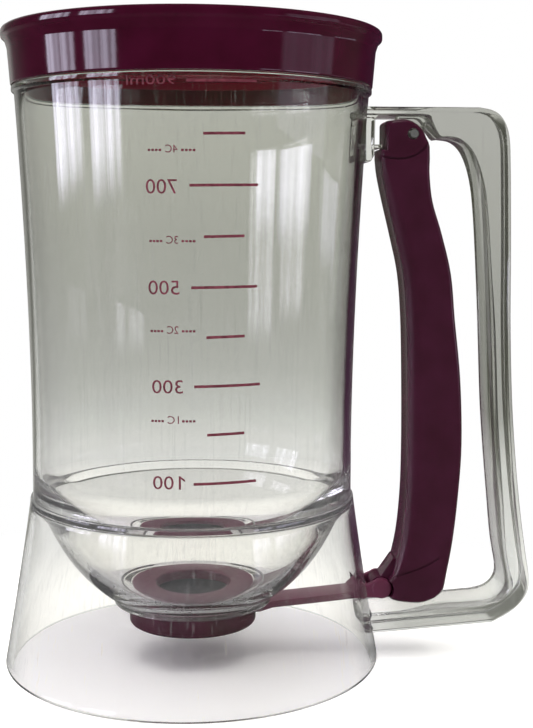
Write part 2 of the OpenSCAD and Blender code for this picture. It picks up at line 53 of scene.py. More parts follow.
FRAME_W, FRAME_H = 533, 728
FOCAL_PX = 1269
AXIS_ROW = 300
EYE = Vector((0, -388, 136.4)) * MM
PITCH = math.radians(-3.9)
YAW = math.radians(-3.33)
ROLL = math.radians(0.2)

camera_data = bpy.data.cameras.new("camera")
camera_data.sensor_fit = "HORIZONTAL"
camera_data.sensor_width = 36
camera_data.lens = FOCAL_PX / FRAME_W * camera_data.sensor_width
camera_data.shift_y = -(FRAME_H / 2 - AXIS_ROW) / FRAME_W
camera_data.clip_start = 0.01
camera = bpy.data.objects.new("camera", camera_data)
camera.matrix_world = (
    Matrix.Translation(EYE)
    @ Matrix.Rotation(YAW, 4, "Z")
    @ Matrix.Rotation(math.pi / 2 + PITCH, 4, "X")
    @ Matrix.Rotation(ROLL, 4, "Z")
)
scene.collection.objects.link(camera)
scene.camera = camera


# ------------------------------------------------------------------ clear jug
# Barrel, bowl-shaped floor, flared skirt and C-shaped handle: one injection moulding of
# clear styrene-acrylonitrile. The walls are 2.2 mm, thicker low in the bowl, and every
# outer edge has a small radius.

JUG_WALL = 2.2
RIM_TOP, RIM_R, RIM_IN_R = 186.5, 52.1, 50.2
LEDGE_Z, LEDGE_R = 173.5, 54.0
WAIST_Z, WAIST_R = 50.8, 49.3
BARREL_R, MOUTH_R = 48.6, 53.1
FLARE_Z, FLARE_TOP = 65.0, 171.5
BASE_R, BASE_IN_R = 57.2, 55.0
BOWL_R, BOWL_H, BOWL_Z = 47.2, 50.0, 61.96
BOWL_IN_R, BOWL_IN_H = 45.0, 46.3
BLEND_TOP, BLEND_LOW = 58.8, 46.0
FLOOR_Z, COLLAR_Z, COLLAR_R, HOLE_R, RECESS_R = 18.9, 17.4, 24.3, 15.5, 19.8


def skirt_r(z):
    """Outer radius of the skirt at a height, in mm."""
    return WAIST_R + (BASE_R - WAIST_R) * max(0, 1 - z / WAIST_Z) ** 1.1


def barrel_r(z):
    """Outer radius of the barrel at a height, in mm."""
    rise = max(0, z - FLARE_Z) / (FLARE_TOP - FLARE_Z)
    return BARREL_R + (MOUTH_R - BARREL_R) * min(1, rise) ** 1.7


def rounded(corners, steps=4):
    """Closed outline through corners (a, b, radius), each rounded by an arc of its radius."""
    out = []
    for i, (a, b, radius) in enumerate(corners):
        here = Vector((a, b))
        if radius == 0:
            out.append(here)
            continue
        before = Vector(corners[i - 1][:2]) - here
        after = Vector(corners[(i + 1) % len(corners)][:2]) - here
        half = before.angle(after) / 2
        cut = min(radius / math.tan(half), 0.49 * before.length, 0.49 * after.length)
        radius = cut * math.tan(half)
        start = here + before.normalized() * cut
        end = here + after.normalized() * cut
        centre = here + (before.normalized() + after.normalized()).normalized() * (
            radius / math.sin(half)
        )
        for k in range(steps + 1):
            point = start.lerp(end, k / steps) - centre
            out.append(centre + point.normalized() * radius)
    return out


def mesh_object(name, points, faces, sharp=40):
    """Mesh from points in mm, smooth except at edges sharper than the given angle."""
    data = bpy.data.meshes.new(name)
    data.from_pydata([Vector(p) * MM for p in points], [], faces)
    obj = bpy.data.objects.new(name, data)
    scene.collection.objects.link(obj)
    smooth(obj, sharp)
    return obj


def smooth(obj, sharp=40):
    """Point the faces outward, and shade smooth with sharp edges above the angle."""
    work = bmesh.new()
    work.from_mesh(obj.data)
    bmesh.ops.remove_doubles(work, verts=work.verts, dist=1e-7)
    bmesh.ops.recalc_face_normals(work, faces=work.faces)
    for face in work.faces:
        face.smooth = True
    for edge in work.edges:
        edge.smooth = len(edge.link_faces) == 2 and edge.calc_face_angle(0) < math.radians(sharp)
    work.to_mesh(obj.data)
    work.free()


def lathe(name, outline, steps=144, sharp=40):
    """Closed outline of (radius, height) turned round the jug's axis."""
    rows = [(p[0], p[1]) for p in outline]
    count = len(rows)
    points, faces = [], []
    for s in range(steps):
        turn = math.tau * s / steps
        points += [(r * math.cos(turn), r * math.sin(turn), z) for r, z in rows]
    for s in range(steps):
        a, b = s * count, (s + 1) % steps * count
        for k in range(count):
            n = (k + 1) % count
            faces.append((a + k, b + k, b + n, a + n))
    return mesh_object(name, points, faces, sharp)


def plate(name, outline, width, edge, y=0.0, steps=4, sharp=40):
    """Flat piece in X and Z with a width along Y. outline(inset) gives the same number of
    points for each inset, so the edges come out rounded by the given radius."""
    levels = []
    for k in range(steps, -1, -1):
        turn = math.pi / 2 * k / steps
        levels.append((-(width / 2 - edge + edge * math.sin(turn)), edge * (1 - math.cos(turn))))
    levels += [(-side, inset) for side, inset in reversed(levels)]
    points, faces = [], []
    for side, inset in levels:
        ring = outline(inset)
        points += [(p[0], y + side, p[1]) for p in ring]
    count = len(ring)
    for level in range(len(levels) - 1):
        a = level * count
        for k in range(count):
            n = (k + 1) % count
            faces.append((a + k, a + count + k, a + count + n, a + n))
    last = (len(levels) - 1) * count
    faces.append(tuple(range(count)))
    faces.append(tuple(last + k for k in reversed(range(count))))
    return mesh_object(name, points, faces, sharp)


def bar(name, x, z, r, width, y=0.0, steps=48, edge=0.3):
    """Round bar along Y with slightly rounded ends."""
    def ring(inset):
        return [
            (x + (r - inset) * math.cos(math.tau * k / steps),
             z + (r - inset) * math.sin(math.tau * k / steps))
            for k in range(steps)
        ]
    return plate(name, ring, width, edge, y, steps=3)


def combine(obj, tool, how, sharp=40):
    """Join a tool to obj, or cut it out of obj, and remove the tool."""
    step = obj.modifiers.new("combine", "BOOLEAN")
    step.operation = how
    step.solver = "EXACT"
    step.object = tool
    graph = bpy.context.evaluated_depsgraph_get()
    made = bpy.data.meshes.new_from_object(obj.evaluated_get(graph))
    obj.modifiers.clear()
    obj.data = made
    bpy.data.objects.remove(tool)
    smooth(obj, sharp)
    return obj


def curve_through(points, steps=5):
    """Smooth run of points through the given ones."""
    out = []
    for i in range(len(points) - 1):
        a, b = points[max(i - 1, 0)], points[i]
        c, d = points[i + 1], points[min(i + 2, len(points) - 1)]
        for k in range(steps):
            t = k / steps
            out.append(tuple(
                0.5 * (2 * b[n] + (c[n] - a[n]) * t
                       + (2 * a[n] - 5 * b[n] + 4 * c[n] - d[n]) * t * t
                       + (3 * b[n] - a[n] - 3 * c[n] + d[n]) * t ** 3)
                for n in (0, 1)))
    return out + [tuple(points[-1])]


def bowl_z(r, half_w, half_h):
    """Height of the bowl's ellipse at the radius r, below its centre."""
    return BOWL_Z - half_h * math.sqrt(max(0.0, 1 - (r / half_w) ** 2))


def jug_outline():
    """Section of barrel, bowl and skirt as one closed line, from the base rim outside and up."""
    def along(start, end, steps):
        """Evenly spaced numbers from start to end."""
        return [start + (end - start) * i / steps for i in range(steps + 1)]

    outside = [(skirt_r(z), z, 0) for z in along(2, 49.5, 12)]
    waist = [(WAIST_R, WAIST_Z, 0.45), (BARREL_R, WAIST_Z + 0.1, 0.3)]
    wall = [(barrel_r(z), z, 0) for z in [56, 60] + along(FLARE_Z, FLARE_TOP, 14)]
    rim = [
        (LEDGE_R, LEDGE_Z - 1.4, 0.4), (LEDGE_R, LEDGE_Z, 0.35), (RIM_R, LEDGE_Z, 0.3),
        (RIM_R, RIM_TOP, 0.8), (RIM_IN_R, RIM_TOP, 0.8), (RIM_IN_R, LEDGE_Z + 2, 0.8),
    ]
    inside = [(barrel_r(z) - JUG_WALL, z, 0) for z in along(FLARE_TOP, FLARE_Z, 14) + [61.5]]
    well_r = BARREL_R - JUG_WALL
    low_r = BOWL_IN_R * math.sqrt(1 - ((BOWL_Z - BLEND_LOW) / BOWL_IN_H) ** 2)
    into_bowl = [(well_r - (well_r - low_r) * k ** 1.5, BLEND_TOP - (BLEND_TOP - BLEND_LOW) * k, 0)
                 for k in along(0, 1, 8)]
    bowl = [(r, bowl_z(r, BOWL_IN_R, BOWL_IN_H), 0)
            for r in along(low_r, RECESS_R + 0.1, 16)[1:]]
    floor = [
        (RECESS_R, 19.6, 0), (RECESS_R, FLOOR_Z, 0.2), (HOLE_R, FLOOR_Z, 0.2),
        (HOLE_R, COLLAR_Z, 0.2), (COLLAR_R, COLLAR_Z, 0.5), (COLLAR_R, 19.0, 0.3),
    ]
    under = [(r, bowl_z(r, BOWL_R, BOWL_H), 0)
             for r in [24.8 + 20.6 * (1 - (1 - k) ** 2) for k in along(0, 1, 16)]]
    shelf = [(45.7, 48.6, 0.7), (47.3, 48.6, 0.8)]
    inner_skirt = [(skirt_r(z) - JUG_WALL, z, 0) for z in along(47, 2, 11)]
    foot = [(BASE_IN_R, 0, 0.9), (BASE_R, 0, 0.9)]
    return rounded(outside + waist + wall + rim + inside + into_bowl + bowl + floor + under
                   + shelf + inner_skirt + foot)


HANDLE_W, HANDLE_EDGE = 20.0, 1.5
HANDLE_TOP, ARM_THICK = 168.4, 2.6
GRIP_IN, GRIP_OUT = 90.1, 96.4
FOOT_LOW, FOOT_HIGH = 8.0, 13.9
RISE = math.tan(math.radians(4.4))
PIN_X, PIN_Z = 66.5, 160.5


def handle_outline(inset):
    """Closed outline of the handle in X and Z, smaller by inset on every side."""
    x_in, x_out, top = GRIP_IN + inset, GRIP_OUT - inset, HANDLE_TOP
    outer = [
        (86, top - inset), (90.4, top - 1 - inset * 0.9), (93.2, top - 3.6 - inset * 0.6),
        (x_out - 1.3, top - 8.5), (x_out - 0.7, 150), (x_out - 0.2, 124), (x_out, 104),
        (x_out + 0.8, 81), (x_out + 2.2, 62), (x_out + 3.9, 46), (x_out + 5.7, 33),
        (x_out + 6.88, 25.5), (x_out + 6.6, 20.5), (x_out + 4, 16.4),
        (x_out + 0.3, 13.4 + inset * 0.6), (92, FOOT_LOW + 38 * RISE + inset),
    ]
    inner = [
        (89, FOOT_HIGH + 35 * RISE - inset), (x_in + 3.2, 17.8 - inset * 0.4),
        (x_in + 5.9, 20.5), (x_in + 6.5, 24.5), (x_in + 4.9, 34), (x_in + 3.6, 47),
        (x_in + 2.2, 62), (x_in + 1, 78), (x_in, 101), (x_in - 0.8, 117), (x_in - 2, 136),
        (x_in - 3.4, 147), (x_in - 6, 154.8), (x_in - 9.6, 158.6 + inset * 0.7),
        (x_in - 14, 159.5 + inset),
    ]
    return (
        [(51.6, top - inset)] + curve_through(outer)
        + [(53.7, FOOT_LOW - 0.3 * RISE + inset), (53.7, FOOT_HIGH - 0.3 * RISE - inset)]
        + curve_through(inner)
        + [(74.6 + inset * 0.4, 159.3 + inset), (73.8 + inset * 0.6, 159.9 + inset * 0.8),
           (70.5 + inset * 0.7, 164.5 + inset * 0.5), (69.6 + inset * 0.5, 165.4 + inset * 0.4),
           (68.6, top - ARM_THICK + inset * 0.3), (51.6, top - ARM_THICK + inset * 0.3)]
    )


def block(corners, steps=3):
    """Outline function for a small block with rounded corners."""
    def ring(inset):
        middle = sum((Vector(c[:2]) for c in corners), Vector((0, 0))) / len(corners)
        shrunk = []
        for a, b, radius in corners:
            away = Vector((a, b)) - middle
            shrunk.append((a - math.copysign(inset, away.x), b - math.copysign(inset, away.y),
                           radius))
        return rounded(shrunk, steps)
    return ring


jug = lathe("clear_jug", jug_outline())
combine(jug, plate("handle", handle_outline, HANDLE_W, HANDLE_EDGE), "UNION")
root = block([(51.6, 152, 0), (53.2, 152, 0.3), (54.4, 154, 0.5), (54.6, 165, 0.8),
              (56.8, 167.2, 0.3), (51.6, 167.2, 0)])
combine(jug, plate("root", root, 16, 0.4), "UNION")
tab = block([(52.4, 156.2, 0), (57, 156.2, 0.2), (57, 157.3, 0.2), (52.4, 157.3, 0)])
combine(jug, plate("tab", tab, 12, 0.2), "UNION")
lug = block([(PIN_X - 3.6, PIN_Z, 0), (PIN_X + 3.6, PIN_Z, 0), (PIN_X + 4.4, 166.6, 0),
             (PIN_X - 4.4, 166.6, 0)])
combine(jug, bar("lug_round", PIN_X, PIN_Z, 3.6, 7), "UNION")
combine(jug, plate("lug", lug, 6.9, 0.1), "UNION")
combine(jug, bar("pin_bore", PIN_X, PIN_Z, 1.22, 12), "DIFFERENCE")
window = block([(44, 16.2, 0), (68, 16.2, 0), (68, 23.3, 0), (44, 23.3, 0)])
combine(jug, plate("window", window, 13, 0.5), "DIFFERENCE")
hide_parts("jug_barrel", "funnel_bowl", "base_skirt",
            "handle_top_arm", "handle_grip", "handle_foot_bar")
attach(jug, "jug")


def colour(code):
    """sRGB hex as linear RGBA."""
    parts = [int(code[i:i + 2], 16) / 255 for i in (0, 2, 4)]
    return [c / 12.92 if c <= 0.04045 else ((c + 0.055) / 1.055) ** 2.4 for c in parts] + [1]


def add(material, kind, settings=None, links=None):
    """Add a node of that kind, set its sockets and properties, and link its inputs."""
    tree = material.node_tree
    made = tree.nodes.new(kind)
    for key, value in (settings or {}).items():
        if isinstance(key, str) and key not in made.inputs:
            setattr(made, key, value)
        else:
            made.inputs[key].default_value = value
    for key, source in (links or {}).items():
        tree.links.new(source, made.inputs[key])
    return made


def new_material(name):
    """Empty node material with its output node."""
    material = bpy.data.materials.new(name)
    material.use_nodes = True
    material.node_tree.nodes.clear()
    return material, add(material, "ShaderNodeOutputMaterial")


def finish_material(material, output, shader):
    """Send the finished shader to the material's output."""
    material.node_tree.links.new(shader.outputs[0], output.inputs["Surface"])


# Clear SAN, injection moulded in a polished tool: a glassy plastic. Its tint is painted
# shade: grey in the tall barrel and nearly water-clear from the bowl down, it stands in for
# the dim room seen through the walls. Faint flow waves, about 14 mm apart, bend the
# reflections. Use has left a slight white haze and fine scratches. Both the painted tint and
# the clearness follow the height, up to 190 mm.
TINT_TOP = 190
clear_san, san_out = new_material("clear_san_moulded")
place = add(clear_san, "ShaderNodeTexCoord")
split = add(clear_san, "ShaderNodeSeparateXYZ", links={"Vector": place.outputs["Object"]})
height = add(clear_san, "ShaderNodeMapRange",
             {"From Min": 0.0, "From Max": TINT_TOP * MM}, {"Value": split.outputs["Z"]})
wall_painted_shade = add(clear_san, "ShaderNodeValToRGB", links={"Fac": height.outputs[0]})
# The handle is thick and solid, so it is smokier than the walls, and hazier from the hand's
# wear. Its darker tint, most of all in the grip, is partly painted shade for the dim room
# seen through it.
handle_painted_shade = add(clear_san, "ShaderNodeValToRGB", links={"Fac": height.outputs[0]})
# Painted shade: grey tints by height, for the walls and for the handle.
WALL_PAINTED_SHADES = ((50, "fafaf8"), (60, "f8f8f5"), (71, "ecedea"), (84, "dddeda"), (104, "d5d6d1"),
              (130, "d4d5cf"), (160, "dadbd4"), (176, "dadcd6"))
HANDLE_PAINTED_SHADES = ((30, "e6e7e2"), (58, "dcddd7"), (74, "abaca5"), (105, "a9aaa3"),
                (140, "b1b2aa"), (162, "b6b7b0"))


def fill_ramp(node, marks, low, high):
    """Give a colour ramp a stop for each (value, hex), its range running from low to high."""
    ramp = node.color_ramp.elements
    for mark, (value, shade) in enumerate(marks):
        share = (value - low) / (high - low)
        stop = ramp[mark] if mark < 2 else ramp.new(share)
        stop.position = share
        stop.color = colour(shade)


fill_ramp(wall_painted_shade, WALL_PAINTED_SHADES, 0, TINT_TOP)
fill_ramp(handle_painted_shade, HANDLE_PAINTED_SHADES, 0, TINT_TOP)
clearness = add(clear_san, "ShaderNodeFloatCurve", links={"Value": height.outputs[0]})
line = clearness.mapping.curves[0]
line.points[0].location, line.points[1].location = (0.0, 0.995), (1.0, 1.0)
for z, share in ((21, 0.997), (24, 0.994), (43, 0.994), (47, 0.975), (54, 0.97),
                 (64, 0.99), (80, 1.0)):
    line.points.new(z / TINT_TOP, share)
clearness.mapping.update()
solid = add(clear_san, "ShaderNodeMapRange", {"From Min": 58 * MM, "From Max": 66 * MM},
            {"Value": split.outputs["X"]})
painted_shade = add(clear_san, "ShaderNodeMix", {"data_type": "RGBA"},
            {0: solid.outputs[0], 6: wall_painted_shade.outputs[0], 7: handle_painted_shade.outputs[0]})
hazy = add(clear_san, "ShaderNodeMapRange", {"To Min": 1.0, "To Max": 0.92},
           {"Value": solid.outputs[0]})
let_through = add(clear_san, "ShaderNodeMath", {"operation": "MULTIPLY"},
                  {0: clearness.outputs[0], 1: hazy.outputs[0]})
# Scratches about 0.4 mm wide and 25 mm long, twice as wide as real ones so that they show.
slant = add(clear_san, "ShaderNodeMapping",
            {"Rotation": (0.45, 0.3, 0.0), "Scale": (1.0, 1.0, 0.016)},
            {"Vector": place.outputs["Object"]})
hairs = add(clear_san, "ShaderNodeTexNoise", {"Scale": 1 / (0.8 * MM), "Detail": 0.0},
            {"Vector": slant.outputs[0]})
scratched = add(clear_san, "ShaderNodeMapRange",
                {"From Min": 0.66, "From Max": 0.78, "To Min": 1.0, "To Max": 0.93},
                {"Value": hairs.outputs["Fac"]})
worn = add(clear_san, "ShaderNodeMath", {"operation": "MULTIPLY"},
           {0: let_through.outputs[0], 1: scratched.outputs[0]})
waves = add(clear_san, "ShaderNodeTexNoise", {"Scale": 1 / (14 * MM), "Detail": 1.0},
            {"Vector": place.outputs["Object"]})
ripple = add(clear_san, "ShaderNodeBump", {"Strength": 0.05, "Distance": 0.4 * MM},
             {"Height": waves.outputs["Fac"]})
san = add(clear_san, "ShaderNodeBsdfPrincipled",
          {"Roughness": 0.015, "IOR": 1.57},
          {"Base Color": painted_shade.outputs[2], "Normal": ripple.outputs[0],
           "Transmission Weight": worn.outputs[0]})
finish_material(clear_san, san_out, san)
jug.data.materials.clear()
jug.data.materials.append(clear_san)
# Light passes the clear walls without a hard shadow.
jug.visible_shadow = False


def flatten_sides(obj, beyond):
    """Shade the flat sides of a plate flat, from a distance in mm along X onward."""
    for face in obj.data.polygons:
        if face.center.x > beyond * MM and abs(face.normal.y) > 0.9999:
            face.use_smooth = False


flatten_sides(jug, 55)


# ------------------------------------------------------------------ measuring scale
# One-colour pad print on the outside of the barrel: lines every 100 ml, figures every
# 200 ml and a small cup scale beside them. The ink is a film of 0.05 mm, lifted 0.03 mm so
# that it stays clear of the wall.

INK_LIFT, INK_THICK = 0.03, 0.05
LINE_H, LINE_SLOPE = 0.75, 0.25
DASH_H, DASHES, DASH_SHARE = 0.6, 4, 0.72


def on_barrel(azimuth, z, lift):
    """Point on the barrel's outside at an azimuth in degrees, lifted off the wall."""
    r = barrel_r(z) + lift
    turn = math.radians(azimuth)
    return r * math.cos(turn), r * math.sin(turn), z


def ink_strip(points, faces, start, end, z, height, slope=0.0):
    """Curved bar of ink from one azimuth to the other."""
    steps = max(2, int(abs(end - start) / 1.5))
    first = len(points)
    for k in range(steps + 1):
        azimuth = start + (end - start) * k / steps
        middle = z + slope * (k / steps - 0.5)
        for dz, lift in ((-height / 2, INK_LIFT), (height / 2, INK_LIFT),
                         (height / 2, INK_LIFT + INK_THICK), (-height / 2, INK_LIFT + INK_THICK)):
            points.append(on_barrel(azimuth, middle + dz, lift))
    for k in range(steps):
        a, b = first + 4 * k, first + 4 * (k + 1)
        for n in range(4):
            m = (n + 1) % 4
            faces.append((a + n, b + n, b + m, a + m))
    faces.append((first, first + 1, first + 2, first + 3))
    end_at = first + 4 * steps
    faces.append((end_at + 3, end_at + 2, end_at + 1, end_at))


def ink_text(points, faces, body, azimuth_low, azimuth_high, z_low, tall):
    """Figures printed so that they read from inside the jug, fitted between two azimuths."""
    text = bpy.data.curves.new("figures", "FONT")
    text.body = body
    text.size = 1.0
    text.resolution_u = 3
    source = bpy.data.objects.new("figures", text)
    scene.collection.objects.link(source)
    bpy.context.view_layer.update()
    flat = bpy.data.meshes.new_from_object(
        source.evaluated_get(bpy.context.evaluated_depsgraph_get()))
    xs = [v.co.x for v in flat.vertices]
    ys = [v.co.y for v in flat.vertices]
    first = len(points)
    count = len(flat.vertices)
    for lift in (INK_LIFT + INK_THICK, INK_LIFT):
        for v in flat.vertices:
            across = (v.co.x - min(xs)) / (max(xs) - min(xs))
            up = (v.co.y - min(ys)) / (max(ys) - min(ys))
            azimuth = azimuth_high + (azimuth_low - azimuth_high) * across
            points.append(on_barrel(azimuth, z_low + up * tall, lift))
    for face in flat.polygons:
        faces.append(tuple(first + k for k in face.vertices))
        faces.append(tuple(first + count + k for k in reversed(face.vertices)))
    sides = {}
    for face in flat.polygons:
        loop = list(face.vertices)
        for a, b in zip(loop, loop[1:] + loop[:1]):
            sides[(a, b)] = sides.get((a, b), 0) + 1
    for a, b in sides:
        if (b, a) not in sides:
            faces.append((first + a, first + count + a, first + count + b, first + b))
    bpy.data.objects.remove(source)


LONG_LINES = [(-91.8, -71.5, 171.2), (-91.0, -70.2, 143.9), (-90.5, -69.8, 116.7),
              (-89.6, -68.2, 90.0), (-89.8, -69.3, 63.4)]
SHORT_LINES = [(-87.0, -74.6, 157.5), (-86.7, -74.2, 130.3), (-85.8, -73.6, 103.3),
               (-85.5, -73.4, 76.8)]
FIGURES = [("900ml", -109.2, -94.7, 170.0, 2.6), ("700", -104.0, -94.7, 141.5, 3.9),
           ("500", -103.7, -94.1, 114.7, 3.8), ("300", -102.9, -93.1, 88.0, 3.7),
           ("100", -102.8, -93.8, 61.8, 3.7)]
CUPS = [("4C", 152.3), ("3C", 128.3), ("2C", 104.2), ("1C", 79.8)]

ink_points, ink_faces = [], []
for start, end, z in LONG_LINES + SHORT_LINES:
    ink_strip(ink_points, ink_faces, start, end, z, LINE_H, LINE_SLOPE)
for body, low, high, z, tall in FIGURES:
    ink_text(ink_points, ink_faces, body, low, high, z, tall)
ink_strip(ink_points, ink_faces, -94.2, -92.5, 64.75, 0.6, -1.1)  # the flag of the lowest 1
for body, z in CUPS:
    ink_text(ink_points, ink_faces, body, -98.0, -94.4, z, 2.1)
    for start, end in ((-103.2, -98.9), (-93.4, -88.9)):
        step = (end - start) / DASHES
        for k in range(DASHES):
            ink_strip(ink_points, ink_faces, start + k * step, start + (k + DASH_SHARE) * step,
                      z + 0.7, DASH_H)
scale = mesh_object("measuring_scale", ink_points, ink_faces, 30)
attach(scale, "jug")

# Pad-printing ink: a thin matt wine-red film, a little uneven in its cover.
ink, ink_out = new_material("pad_print_ink")
ink_place = add(ink, "ShaderNodeTexCoord")
cover = add(ink, "ShaderNodeTexNoise", {"Scale": 1 / (1.2 * MM), "Detail": 2.0},
            {"Vector": ink_place.outputs["Object"]})
ink_tone = add(ink, "ShaderNodeValToRGB", links={"Fac": cover.outputs["Fac"]})
ink_tone.color_ramp.elements[0].position = 0.35
ink_tone.color_ramp.elements[0].color = colour("6a1c30")
ink_tone.color_ramp.elements[1].position = 0.7
ink_tone.color_ramp.elements[1].color = colour("8a3a4c")
ink_shader = add(ink, "ShaderNodeBsdfPrincipled", {"Roughness": 0.55},
                 {"Base Color": ink_tone.outputs[0]})
finish_material(ink, ink_out, ink_shader)
scale.data.materials.append(ink)


# ------------------------------------------------------------------ lid
# Push-on cap of burgundy polypropylene with a rolled brim and a sunk panel. A plug rib
# under the panel centres it in the jug's rim.

LID_LOW, LID_TOP = 173.9, 190.3
LID_R, BRIM_R = 54.2, 57.0
HOLLOW_R, HOLLOW_TOP = 53.2, 187.4


def lid_outline():
    """Section of the cap, from the middle of the panel's underside round to its top."""
    return rounded([
        (0.02, 186.8, 0), (48.5, 186.8, 0.4), (48.5, 182.5, 0.4), (49.9, 182.5, 0.5),
        (49.9, 186.8, 0.2), (52.5, 186.8, 0.2), (52.5, LID_LOW, 0.3), (LID_R, LID_LOW, 0.4),
        (54.25, 174.6, 0), (54.3, 175.2, 0), (54.8, 181.2, 0),
        (55.1, 184.6, 4), (55.9, 187.0, 1.2), (BRIM_R, 187.9, 0.7), (BRIM_R, LID_TOP, 1.1),
        (54.3, LID_TOP, 1.1), (53.2, 188.4, 0.9), (0.02, 188.4, 0),
    ])


lid = lathe("lid_cap", lid_outline(), 160)
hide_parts("lid")
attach(lid, "lid")


def burgundy_plastic(name, shade, roughness, inside=None, gleam=0.5):
    """Moulded burgundy polypropylene: faint mottle about 9 mm across, and orange-peel of
    2.5 mm that breaks the edges of its highlights. A cap's inside may be painted lighter, a
    painted glow that stands in for light reaching it."""
    material, output = new_material(name)
    where = add(material, "ShaderNodeTexCoord")
    mottle = add(material, "ShaderNodeTexNoise", {"Scale": 1 / (9 * MM), "Detail": 3.0},
                 {"Vector": where.outputs["Object"]})
    tone = add(material, "ShaderNodeValToRGB", links={"Fac": mottle.outputs["Fac"]})
    tone.color_ramp.elements[0].position = 0.3
    tone.color_ramp.elements[0].color = colour(shade[0])
    tone.color_ramp.elements[1].position = 0.75
    tone.color_ramp.elements[1].color = colour(shade[1])
    paint = tone.outputs[0]
    # Painted light: inside the cap's hollow the colour is lighter, as if light reached it.
    if inside:
        parts = add(material, "ShaderNodeSeparateXYZ", links={"Vector": where.outputs["Object"]})
        across = add(material, "ShaderNodeCombineXYZ",
                     links={"X": parts.outputs["X"], "Y": parts.outputs["Y"]})
        reach = add(material, "ShaderNodeVectorMath", {"operation": "LENGTH"},
                    {0: across.outputs[0]})
        within = add(material, "ShaderNodeMath", {"operation": "LESS_THAN", 1: HOLLOW_R * MM},
                     {0: reach.outputs["Value"]})
        below = add(material, "ShaderNodeMath", {"operation": "LESS_THAN", 1: HOLLOW_TOP * MM},
                    {0: parts.outputs["Z"]})
        painted_glow_mask = add(material, "ShaderNodeMath", {"operation": "MULTIPLY"},
                     {0: within.outputs[0], 1: below.outputs[0]})
        painted_glow = add(material, "ShaderNodeMix", {"data_type": "RGBA"},
                  {0: painted_glow_mask.outputs[0], 6: paint})
        painted_glow.inputs[7].default_value = colour(inside)
        paint = painted_glow.outputs[2]
    peel = add(material, "ShaderNodeTexNoise", {"Scale": 1 / (2.5 * MM), "Detail": 2.0},
               {"Vector": where.outputs["Object"]})
    skin = add(material, "ShaderNodeBump", {"Strength": 0.06, "Distance": 0.15 * MM},
               {"Height": peel.outputs["Fac"]})
    shader = add(material, "ShaderNodeBsdfPrincipled",
                 {"Roughness": roughness, "IOR": 1.49, "Specular IOR Level": gleam},
                 {"Base Color": paint, "Normal": skin.outputs[0]})
    finish_material(material, output, shader)
    return material


# The cap's panel is 1.6 mm. Its inside is painted a lighter burgundy, a painted glow for
# the daylight that would warm it.
lid_pp = burgundy_plastic("burgundy_pp_gloss", ("38061c", "430a25"), 0.07, "96203a")
lid.data.materials.append(lid_pp)


# ------------------------------------------------------------------ valve
# Two burgundy rings clamp the clear floor: the seat ring with the throat above, and the
# housing with the outlet below. A grey silicone washer seals between ring and floor.

VALVE_R, THROAT_R, OUTLET_R = 19.5, 11.7, 11.0
SEAT_TOP, HOUSING_LOW, HOUSING_TOP = 20.8, 10.6, 17.35
CHANNEL_Z, CHANNEL_R = 14.0, 13.5
seat = lathe("seat_ring_top", rounded([
    (THROAT_R, 17.2, 0.3), (15.3, 17.2, 0.2), (15.3, 19.72, 0.1), (VALVE_R, 19.72, 0.3),
    (VALVE_R, SEAT_TOP, 0.5), (THROAT_R, SEAT_TOP, 0.6)]), 96)
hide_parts("seat_ring")
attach(seat, "jug")

housing = lathe("valve_housing_ring", rounded([
    (OUTLET_R, HOUSING_LOW, 0.5), (VALVE_R, HOUSING_LOW, 1.1), (VALVE_R, HOUSING_TOP, 0.3),
    (OUTLET_R, HOUSING_TOP, 0.2)]), 96)
channel = [(0.02, CHANNEL_Z), (CHANNEL_R, CHANNEL_Z), (CHANNEL_R, 24), (0.02, 24)]
combine(housing, lathe("channel", channel, 96), "DIFFERENCE")
slide_way = block([(0, CHANNEL_Z, 0), (30, CHANNEL_Z, 0), (30, 24, 0), (0, 24, 0)])
combine(housing, plate("slide_way", slide_way, 2 * CHANNEL_R, 0.1), "DIFFERENCE")
spigot_room = lathe("spigot_room", [(0.02, 17.1), (15.4, 17.1), (15.4, 24), (0.02, 24)], 96)
combine(housing, spigot_room, "DIFFERENCE")
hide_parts("valve_housing")
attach(housing, "jug")

# The seat ring is worn satin. The housing is duller, and it is a darker copy of the
# burgundy: painted shade for its place low under the bowl.
valve_pp = burgundy_plastic("burgundy_pp_satin", ("562137", "652a43"), 0.3)
housing_pp_painted_shade = burgundy_plastic("burgundy_pp_housing_painted_shade", ("36081d", "450b27"), 0.4, gleam=0.1)
seat.data.materials.append(valve_pp)
housing.data.materials.append(housing_pp_painted_shade)

# Silicone rubber, compression moulded: matt dark grey with a soft sheen.
silicone, silicone_out = new_material("grey_silicone_rubber")
rubber_place = add(silicone, "ShaderNodeTexCoord")
dust = add(silicone, "ShaderNodeTexNoise", {"Scale": 1 / (3 * MM), "Detail": 3.0},
           {"Vector": rubber_place.outputs["Object"]})
grey = add(silicone, "ShaderNodeValToRGB", links={"Fac": dust.outputs["Fac"]})
grey.color_ramp.elements[0].color = colour("1d1e23")
grey.color_ramp.elements[1].color = colour("303238")
rubber = add(silicone, "ShaderNodeBsdfPrincipled",
             {"Roughness": 0.5, "IOR": 1.41, "Specular IOR Level": 0.25},
             {"Base Color": grey.outputs[0]})
finish_material(silicone, silicone_out, rubber)
for name in ("seat_gasket", "closure_pad"):
    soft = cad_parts[name]
    soft.data.materials.clear()
    soft.data.materials.append(silicone)


# ------------------------------------------------------------------ pull arm
# Shutter disc, flat arm and fork in one burgundy moulding. The arm leaves under the clear
# floor, passes the window in the skirt and hooks onto the trigger with two round cheeks.

LINK_X, LINK_Z = 58.1, 21.0
CHEEK_Y = 5.3


def arm_ring(inset):
    """Closed outline of the arm in X and Z, thinner by inset above and below."""
    low = [(2, 14.16), (20.5, 14.16), (24.5, 15.4), (49.6, 17.9), (53.6, 18.3)]
    high = [(53.6, 22.4), (50.5, 20.9), (48.9, 19.9), (24.5, 17.4), (20.5, 16.04), (2, 16.04)]
    return [(x, z + inset * 0.8) for x, z in low] + [(x, z - inset * 0.8) for x, z in high]


